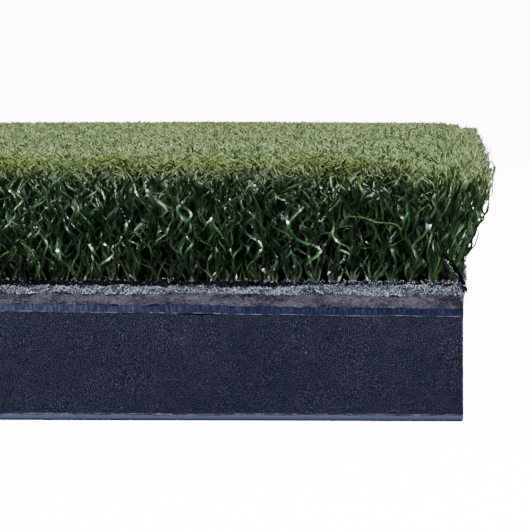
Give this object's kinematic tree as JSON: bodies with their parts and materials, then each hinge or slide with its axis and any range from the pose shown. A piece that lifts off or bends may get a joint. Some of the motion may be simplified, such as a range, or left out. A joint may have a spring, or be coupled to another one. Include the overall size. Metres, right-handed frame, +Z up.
{
  "type": "golf hitting mat",
  "caption": "Laminated golf hitting mat: tufted turf pile stitched through a coated backing, on a felt, a foam core and skins.",
  "frame": {"origin": "centre of the underside, where the mat lies on the ground", "axes": "+Z up out of the pile, +Y along the mat's length and its rows of tufts, +X across its width"},
  "size_m": [0.315, 0.62, 0.0413],
  "materials": {
    "skin_film": "smooth anti-slip film with fine vertical knife marks on its cut edge",
    "bond_film": "thin translucent adhesive film",
    "closed_cell_foam": "dark navy closed-cell foam, finely speckled where it is cut",
    "facing_foam": "dense dark blue facing sheet",
    "needled_felt": "brown-grey needled felt",
    "latex_precoat": "filled latex, crumbly where it is cut, with grey fibre ends",
    "woven_backing": "black woven polypropylene tape",
    "turf_yarn": "crimped flat nylon ribbon, glossy, dark green at the root and yellow-green at the tip"
  },
  "bodies": {
    "root": {"bottom_skin": "skin_film", "lower_bond_film": "bond_film", "foam_core": "closed_cell_foam", "upper_bond_film": "bond_film", "top_skin": "facing_foam", "felt": "needled_felt", "precoat": "latex_precoat", "primary_backing": "woven_backing", "tufted_yarn": "turf_yarn"}
  },
  "joints": []
}
